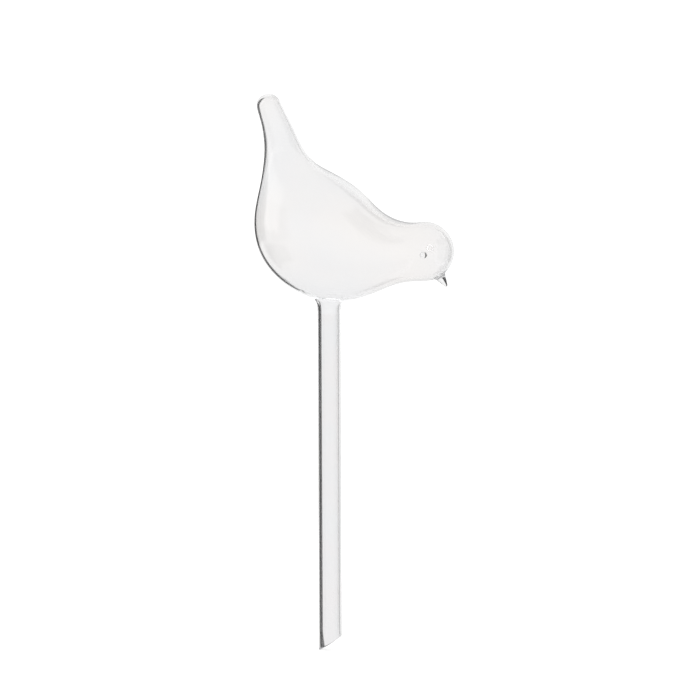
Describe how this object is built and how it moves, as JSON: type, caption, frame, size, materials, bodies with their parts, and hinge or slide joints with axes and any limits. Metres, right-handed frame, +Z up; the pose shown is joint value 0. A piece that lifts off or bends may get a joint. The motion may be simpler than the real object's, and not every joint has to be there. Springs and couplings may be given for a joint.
{
  "type": "watering globe",
  "caption": "Hand-blown clear glass watering globe in the form of a small bird on a slant-cut glass stem, which is filled with water and pushed into a plant pot",
  "frame": {"origin": "on the axis of the stem, level with the lowest point of its slanted tip", "axes": "+Z up along the stem, +X towards the bird's beak, +Y to the bird's left"},
  "size_m": [0.0894, 0.0534, 0.2498],
  "materials": {
    "blown_glass": "clear, thin, mouth-blown, slightly wavy",
    "tube_glass": "clear drawn tube, fire-polished at the cut",
    "bead_glass": "clear and solid, flame-worked"
  },
  "bodies": {
    "root": {"bulb_shell": "blown_glass", "tail_seal": "blown_glass", "neck_weld": "blown_glass", "stem_tube": "tube_glass", "beak": "bead_glass", "eye_left": "bead_glass", "eye_right": "bead_glass"}
  },
  "joints": []
}
